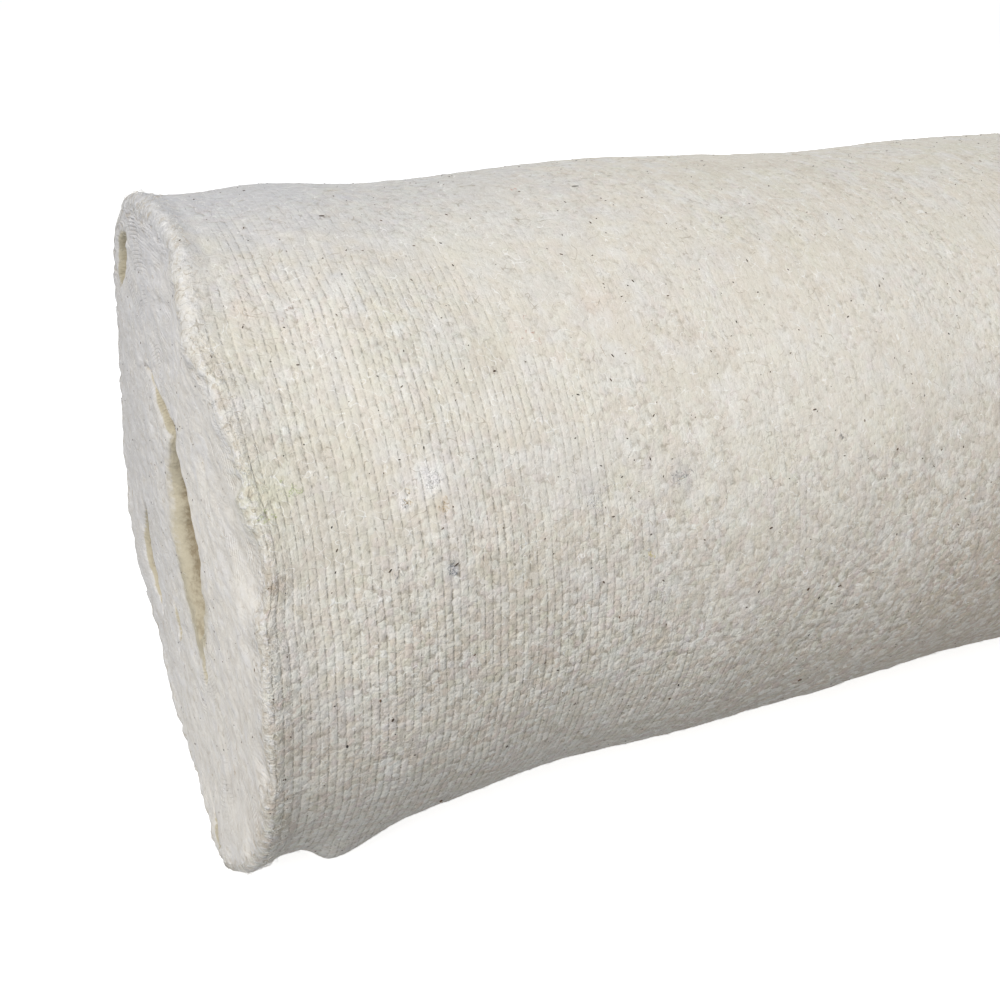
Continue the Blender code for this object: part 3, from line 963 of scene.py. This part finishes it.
def shifted(tree, place, offset):
    return add_node(tree, "ShaderNodeVectorMath", {0: place, 1: offset}).outputs[0]


def flat_noise(tree, place, scale, output):
    inputs = {"Vector": place, "Scale": scale, "Detail": 1.0}
    return add_node(tree, "ShaderNodeTexNoise", inputs, noise_dimensions="2D").outputs[output]


def stray_fibres(tree, place, size, offset, shown):
    """Thin curved lines that start and stop, like fibres that lie on the felt."""
    course = noise(tree, shifted(tree, place, offset), size, 0.0)
    aside = calculate(tree, "ABSOLUTE", calculate(tree, "SUBTRACT", course, 0.5))
    return multiply(tree, ease(tree, aside, 0.014, 0.004), shown)


def mottled(tree, place, grain):
    """The cloth's own colour with painted shade in its small pits, and its tufts and fibres."""
    colour = read(tree, "tint", "Color")
    colour = blend(tree, ease(tree, grain, 0.45, 0.31, 0, 0.30), colour, SMALL_PIT_SHADE)
    colour = blend(tree, ease(tree, grain, 0.55, 0.70, 0, 0.45), colour, SMALL_TUFT)
    spells = noise(tree, place, 0.011, 1.0)
    light = stray_fibres(tree, place, 0.007, (1.1, 3.7, 2.9), ease(tree, spells, 0.47, 0.51))
    colour = blend(tree, multiply(tree, light, 0.7), colour, LIGHT_STRAY)
    dark = stray_fibres(tree, place, 0.009, (6.1, 0.7, 4.9), ease(tree, spells, 0.42, 0.38))
    return blend(tree, multiply(tree, dark, 0.5), colour, DARK_STRAY)


def chain_stitches(tree, rib, row_place, in_ribs, bare):
    """Dashes in the grooves between the ribs, partly the thread's own darker colour and partly
    painted shade in the grooves, faint where the ribs are felted over.
    """
    jitter = flat_noise(tree, row_place, 1.1, 0)
    phase = calculate(tree, "MULTIPLY_ADD", calculate(tree, "ROUND", rib), 0.37,
                      calculate(tree, "MULTIPLY_ADD", jitter, 1.8, in_ribs))
    dash = ease(tree, calculate(tree, "PINGPONG", phase, 0.5), 0.08, 0.26)
    dash = multiply(tree, dash, ease(tree, jitter, 0.36, 0.62, 0.25, 1))
    to_groove = calculate(tree, "PINGPONG", calculate(tree, "FRACT", rib), 0.5)
    groove = ease(tree, to_groove, 0.155, 0.02)
    return multiply(tree, multiply(tree, groove, dash), ease(tree, bare, 0, 0.8, 0.14, 1))


def felt_clumps(tree, row_place, bare):
    """The felt's clumps: a random colour for each, and how near a place is to its middle."""
    waves = add_node(tree, "ShaderNodeVectorMath",
                     {0: flat_noise(tree, row_place, 1.6, "Color"), "Scale": 0.8},
                     operation="SCALE").outputs[0]
    place = shifted(tree, shifted(tree, row_place, waves), (0.1, 0, 0))
    cells = add_node(tree, "ShaderNodeTexVoronoi",
                     {"Vector": place, "Scale": 1.15, "Smoothness": 0.4,
                      "Randomness": ease(tree, bare, 0, 1, 1.0, 0.65)},
                     feature="SMOOTH_F1", voronoi_dimensions="2D")
    return cells.outputs["Color"], ease(tree, cells.outputs["Distance"], 0.75, 0.05)


def clumped(tree, colour, clumpy, shade, clump, grain):
    """The colour with a shade for each clump, its pale top and painted shade in the pits between
    clumps.
    """
    colour = blend(tree, multiply(tree, clumpy, 0.035), colour, shade)
    paler = multiply(tree, ease(tree, shade, 0.40, 0.80, 0, 0.40), clumpy)
    colour = blend(tree, paler, colour, PALE_TUFT)
    shade_between = multiply(tree, ease(tree, clump, 0.34, 0.02), ease(tree, grain, 0.56, 0.40, 0, 0.55))
    return blend(tree, multiply(tree, shade_between, clumpy), colour, SHADE_BETWEEN_CLUMPS)


def fluffed(tree, colour, fray, fluff):
    """The colour with the light and dark fluff of frayed cloth."""
    light = multiply(tree, fray, ease(tree, fluff, 0.52, 0.62, 0, 0.60))
    dark = multiply(tree, fray, ease(tree, fluff, 0.46, 0.36, 0, 0.55))
    return blend(tree, dark, blend(tree, light, colour, LIGHT_FLUFF), DARK_FLUFF)


def soiled(tree, colour, soil, grain):
    """The colour with the tan and the painted shade of the gaps and the hollow."""
    soil = multiply(tree, soil, ease(tree, grain, 0.30, 0.62, 1.25, 0.80))
    colour = blend(tree, ease(tree, soil, 0.02, 0.25), colour, PALE_TAN_SHADE)
    return blend(tree, ease(tree, soil, 0.35, 0.95), colour, DEEP_TAN_SHADE)


def stitched_cotton():
    material, tree, shader = new_material("stitched_cotton")
    place = read(tree, "grain", "Vector")
    names = ("rib", "arc", "bare", "clumpy", "soil", "lap", "fray")
    rib, arc, bare, clumpy, soil, lap, fray = (read(tree, name) for name in names)
    in_ribs = calculate(tree, "DIVIDE", arc, RIB)
    row_place = add_node(tree, "ShaderNodeCombineXYZ", {0: rib, 1: in_ribs}).outputs[0]
    stitches = chain_stitches(tree, rib, row_place, in_ribs, bare)
    shade, clump = felt_clumps(tree, row_place, bare)
    grain = noise(tree, place, 0.0042, 4.0, 0.72)
    fluff = noise(tree, place, 0.0050, 3.0, 0.65)
    lap_line = ease(tree, calculate(tree, "PINGPONG", lap, 0.5), 0.30, 0.04)
    lap_line = multiply(tree, lap_line, ease(tree, noise(tree, place, 0.022), 0.42, 0.66))

    colour = mottled(tree, place, grain)
    colour = blend(tree, multiply(tree, lap_line, 0.17), colour, LAP_LINE)
    colour = clumped(tree, colour, clumpy, shade, clump, grain)
    colour = fluffed(tree, colour, fray, fluff)
    # The stitch dashes: thread colour with painted shade in the grooves
    stitch_shade = multiply(tree, stitches, ease(tree, clumpy, 0.4, 1.0, 0.31, 0.54))
    colour = blend(tree, stitch_shade, colour, STITCH_THREAD_SHADE)
    tree.links.new(soiled(tree, colour, soil, grain), shader.inputs["Base Color"])

    tuft = multiply(tree, clump, multiply(tree, clumpy, 0.65))
    height = calculate(tree, "MULTIPLY_ADD", grain, ease(tree, clumpy, 0.3, 1.0, 1.5, 2.2), tuft)
    height = calculate(tree, "MULTIPLY_ADD", stitches, -0.5, height)
    height = calculate(tree, "MULTIPLY_ADD", lap_line, -0.5, height)
    height = calculate(tree, "MULTIPLY_ADD", multiply(tree, fray, fluff), 5.0, height)
    inputs = {"Strength": 0.75, "Distance": 0.0008, "Height": height}
    bump = add_node(tree, "ShaderNodeBump", inputs).outputs[0]
    tree.links.new(bump, shader.inputs["Normal"])
    tree.links.new(ease(tree, tuft, 0, 1, 0.85, 1.0), shader.inputs["Roughness"])
    return material


def fibre_material():
    material, tree, shader = new_material("cotton_fibre")
    paler = ease(tree, noise(tree, own_place(tree), 0.004), 0.4, 0.7, 0, 0.25)
    colour = blend(tree, paler, read(tree, "tint", "Color"), PALE_FIBRE)
    tree.links.new(colour, shader.inputs["Base Color"])
    shader.inputs["Roughness"].default_value = 0.9
    return material


def seed_material():
    material, tree, shader = new_material("seed_coat")
    browner = ease(tree, noise(tree, own_place(tree), 0.003), 0.35, 0.65)
    tree.links.new(blend(tree, browner, BLACK_SEED, BROWN_SEED), shader.inputs["Base Color"])
    shader.inputs["Roughness"].default_value = 0.8
    return material


def floor_material():
    material, tree, shader = new_material("pale_floor")
    paler = ease(tree, noise(tree, own_place(tree), 0.8), 0.3, 0.7)
    tree.links.new(blend(tree, paler, FLOOR_GREY, FLOOR_WHITE), shader.inputs["Base Color"])
    shader.inputs["Roughness"].default_value = 1.0
    shader.inputs["Specular IOR Level"].default_value = 0.0
    shader.inputs["Emission Color"].default_value = (1, 1, 1, 1)
    shader.inputs["Emission Strength"].default_value = FLOOR_GLOW
    return material


def build_floor():
    """A pale floor that sweeps up far away, so that the object stands before white from all sides."""
    rows = np.array(FLOOR_SWEEP)[:, None]
    turn = 2 * pi * np.arange(FLOOR_POINTS_AROUND) / FLOOR_POINTS_AROUND
    across = rows[..., 0] * np.cos(turn)
    along = rows[..., 0] * np.sin(turn)
    points = np.stack(np.broadcast_arrays(across, along, rows[..., 1]), axis=-1)
    faces = grid_faces(len(rows), len(turn))
    floor = add_surface("floor", points, faces, floor_material())
    floor.location.z = -0.0005
    floor.visible_diffuse = False
    floor.visible_shadow = False


def add_lamp(lamp):
    light = bpy.data.lights.new(lamp.name, "AREA")
    light.shape = "DISK"
    light.size = lamp.size
    light.energy = lamp.power
    light.color = lamp.colour
    holder = add_object(lamp.name, light)
    holder.location = lamp.place
    towards = Vector(LAMPS_POINT_AT) - Vector(lamp.place)
    holder.rotation_euler = towards.to_track_quat("-Z", "Y").to_euler()


def build_light():
    world = bpy.data.worlds.new("studio")
    bpy.context.scene.world = world
    world.use_nodes = True
    background = world.node_tree.nodes["Background"]
    background.inputs["Color"].default_value = SKY_COLOUR
    background.inputs["Strength"].default_value = SKY_STRENGTH
    for lamp in LAMPS:
        add_lamp(lamp)


def build_camera():
    camera = add_object("camera", bpy.data.cameras.new("camera"))
    camera.data.lens = CAMERA_LENS
    camera.data.sensor_width = 36
    camera.data.clip_start = 0.01
    camera.data.clip_end = 300
    camera.location = CAMERA_PLACE
    camera.rotation_euler = (radians(90 - CAMERA_ELEVATION), 0, radians(CAMERA_AZIMUTH))
    bpy.context.scene.camera = camera
    bpy.context.scene.view_settings.view_transform = "Standard"


for thing in list(bpy.data.objects):
    bpy.data.objects.remove(thing)
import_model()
build_camera()
build_light()
build_floor()
cotton = stitched_cotton()
build_wrap(cotton)
lip, lip_soil = build_near_end(cotton)
build_far_end(cotton)
build_hollow(cotton, lip, lip_soil)
build_fibres(fibre_material())
build_seeds(seed_material())
